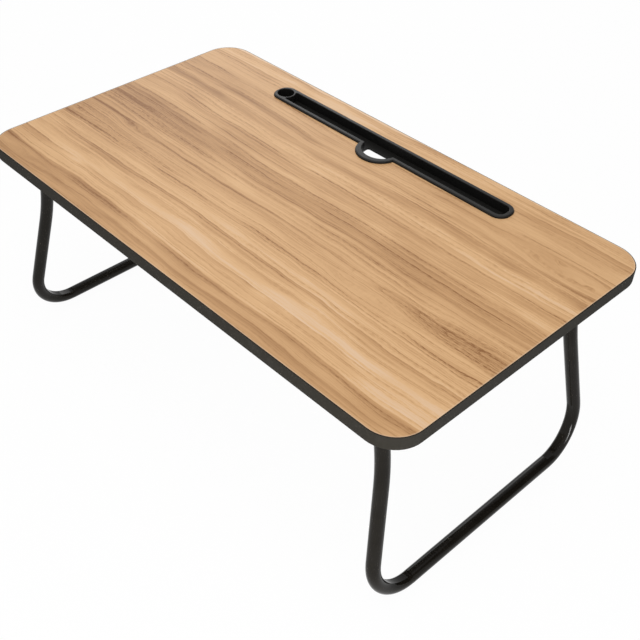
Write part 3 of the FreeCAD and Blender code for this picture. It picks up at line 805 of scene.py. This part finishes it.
def make_camera():
    """A camera that is turned, rolled and shifted as the photograph's was."""
    azimuth, elevation, roll = (math.radians(CAMERA[name]) for name in ("azimuth", "elevation", "roll"))
    back = Vector((math.sin(azimuth) * math.cos(elevation), -math.cos(azimuth) * math.cos(elevation),
                   math.sin(elevation)))
    right = (-back).cross(Vector((0, 0, 1))).normalized()
    up = right.cross(-back)
    level = right * math.cos(roll) + up * math.sin(roll)
    upright = up * math.cos(roll) - right * math.sin(roll)
    camera = bpy.data.cameras.new("camera")
    image = CAMERA["image"]
    camera.sensor_width = 36
    camera.lens = camera.sensor_width * CAMERA["focal"] / image
    camera.shift_x = (image / 2 - CAMERA["middle"][0]) / image
    camera.shift_y = (CAMERA["middle"][1] - image / 2) / image
    camera.clip_end = 20
    holder = bpy.data.objects.new("camera", camera)
    bpy.context.scene.collection.objects.link(holder)
    turn = Matrix((level, upright, back)).transposed().to_4x4()
    holder.matrix_world = Matrix.Translation(CAMERA["place"]) @ turn
    bpy.context.scene.camera = holder


def make_lamp(name, power, place, aim, width, height, lights, glints):
    """A flat soft lamp that faces a point, and may be without its light or its glints."""
    lamp = bpy.data.lights.new(name, "AREA")
    lamp.shape = "RECTANGLE"
    lamp.size = width
    lamp.size_y = height
    lamp.energy = power
    holder = bpy.data.objects.new(name, lamp)
    bpy.context.scene.collection.objects.link(holder)
    way = Vector(place) - Vector(aim)
    holder.matrix_world = Matrix.Translation(place) @ way.to_track_quat("Z", "Y").to_matrix().to_4x4()
    holder.visible_camera = False
    holder.visible_diffuse = lights
    holder.visible_glossy = glints


def seen_directly(nodes):
    """1 for what the camera, a gloss or a glass sees, 0 for what only lights the scene."""
    rays = ("Is Camera Ray", "Is Glossy Ray", "Is Transmission Ray")
    camera, glossy, transmission = nodes.node("ShaderNodeLightPath", output=rays)
    return camera.at_least(glossy).at_least(transmission)


def make_sky(strength):
    """A sky that is white to look at and softer as a light."""
    world = bpy.data.worlds.new("studio")
    world.use_nodes = True
    nodes = Nodes(world.node_tree)
    level = nodes.node("ShaderNodeMapRange", {}, {
        "Value": seen_directly(nodes), "To Min": strength, "To Max": 1.0})
    back = nodes.node("ShaderNodeBackground", {}, {"Color": rgba(WHITE), "Strength": level})
    nodes.node("ShaderNodeOutputWorld", {}, {"Surface": back}, output=())
    bpy.context.scene.world = world


def make_sheet(name, corners, material):
    """A flat sheet with four corners, for the studio."""
    mesh = bpy.data.meshes.new(name)
    mesh.from_pydata(corners, [], [(0, 1, 2, 3)])
    mesh.materials.append(material)
    sheet = bpy.data.objects.new(name, mesh)
    bpy.context.scene.collection.objects.link(sheet)
    return sheet


def make_floor(colour):
    """A pale floor that goes over into the white of the sky and keeps a faint shadow."""
    material = new_material("floor")
    nodes = Nodes(material.node_tree)
    matt = nodes.node("ShaderNodeBsdfDiffuse", {}, {"Color": rgba(colour)})
    glow = nodes.node("ShaderNodeEmission")
    seen = nodes.node("ShaderNodeMixShader", {}, {0: seen_directly(nodes) * FLOOR_WHITE, 1: matt, 2: glow})
    nodes.node("ShaderNodeOutputMaterial", {}, {"Surface": seen}, output=())
    corners = [(x * FLOOR_REACH, y * FLOOR_REACH, 0) for x, y in ((-1, -1), (1, -1), (1, 1), (-1, 1))]
    floor = make_sheet("floor", corners, material)


def make_dark_card():
    """A black card at the back right that nothing but the gloss of the legs shows."""
    material = new_material("dark_card")
    nodes = Nodes(material.node_tree)
    matt = nodes.node("ShaderNodeBsdfDiffuse", {}, {"Color": rgba(CARD_COLOUR)})
    nodes.node("ShaderNodeOutputMaterial", {}, {"Surface": matt}, output=())
    low = [(x, CARD_BACK, CARD_LOW) for x in (CARD_LEFT, CARD_RIGHT)]
    high = [(x, CARD_BACK, CARD_HIGH) for x in (CARD_RIGHT, CARD_LEFT)]
    card = make_sheet("dark_card", low + high, material)
    card.visible_camera = False
    card.visible_diffuse = False
    card.visible_shadow = False


class LAPTABLE_OT_stage(bpy.types.Operator):
    """Set up the floor, the black card, the sky, the lamps and the camera"""
    bl_idname = "laptable.stage"
    bl_label = "Studio"

    def execute(self, context):
        look = context.scene.laptable_studio
        context.scene.view_settings.view_transform = "Standard"
        make_floor(look.floor)
        make_dark_card()
        make_sky(look.sky)
        for name, values in LAMPS.items():
            make_lamp(f"{name}_lamp", getattr(look, f"{name}_power"), *values)
        make_camera()
        return {"FINISHED"}


# Panel and registration

STEPS = ("board", "tray", "legs", "hinges", "screws", "stage")

LOOKS = {
    "laptable_board": BoardLook,
    "laptable_metal": MetalLook,
    "laptable_plastic": PlasticLook,
    "laptable_screws": ScrewSizes,
    "laptable_studio": StudioLook,
}


class LAPTABLE_PT_sidebar(bpy.types.Panel):
    """Lists the looks and the steps"""
    bl_idname = "LAPTABLE_PT_sidebar"
    bl_label = "Folding Lap Table"
    bl_space_type = "VIEW_3D"
    bl_region_type = "UI"
    bl_category = "Lap Table"

    def draw(self, context):
        for name in LOOKS:
            group = getattr(context.scene, name)
            for prop in group.bl_rna.properties:
                if prop.identifier not in ("rna_type", "name"):
                    self.layout.prop(group, prop.identifier)
        for step in STEPS:
            self.layout.operator(f"laptable.{step}")


CLASSES = (*LOOKS.values(), LAPTABLE_OT_board, LAPTABLE_OT_tray, LAPTABLE_OT_legs, LAPTABLE_OT_hinges,
           LAPTABLE_OT_screws, LAPTABLE_OT_stage, LAPTABLE_PT_sidebar)


def register():
    for item in CLASSES:
        bpy.utils.register_class(item)
    for name, group in LOOKS.items():
        setattr(bpy.types.Scene, name, bpy.props.PointerProperty(type=group))


def unregister():
    for name in LOOKS:
        delattr(bpy.types.Scene, name)
    for item in reversed(CLASSES):
        bpy.utils.unregister_class(item)


def main():
    register()
    for step in STEPS:
        getattr(bpy.ops.laptable, step)()


if __name__ == "__main__":
    main()
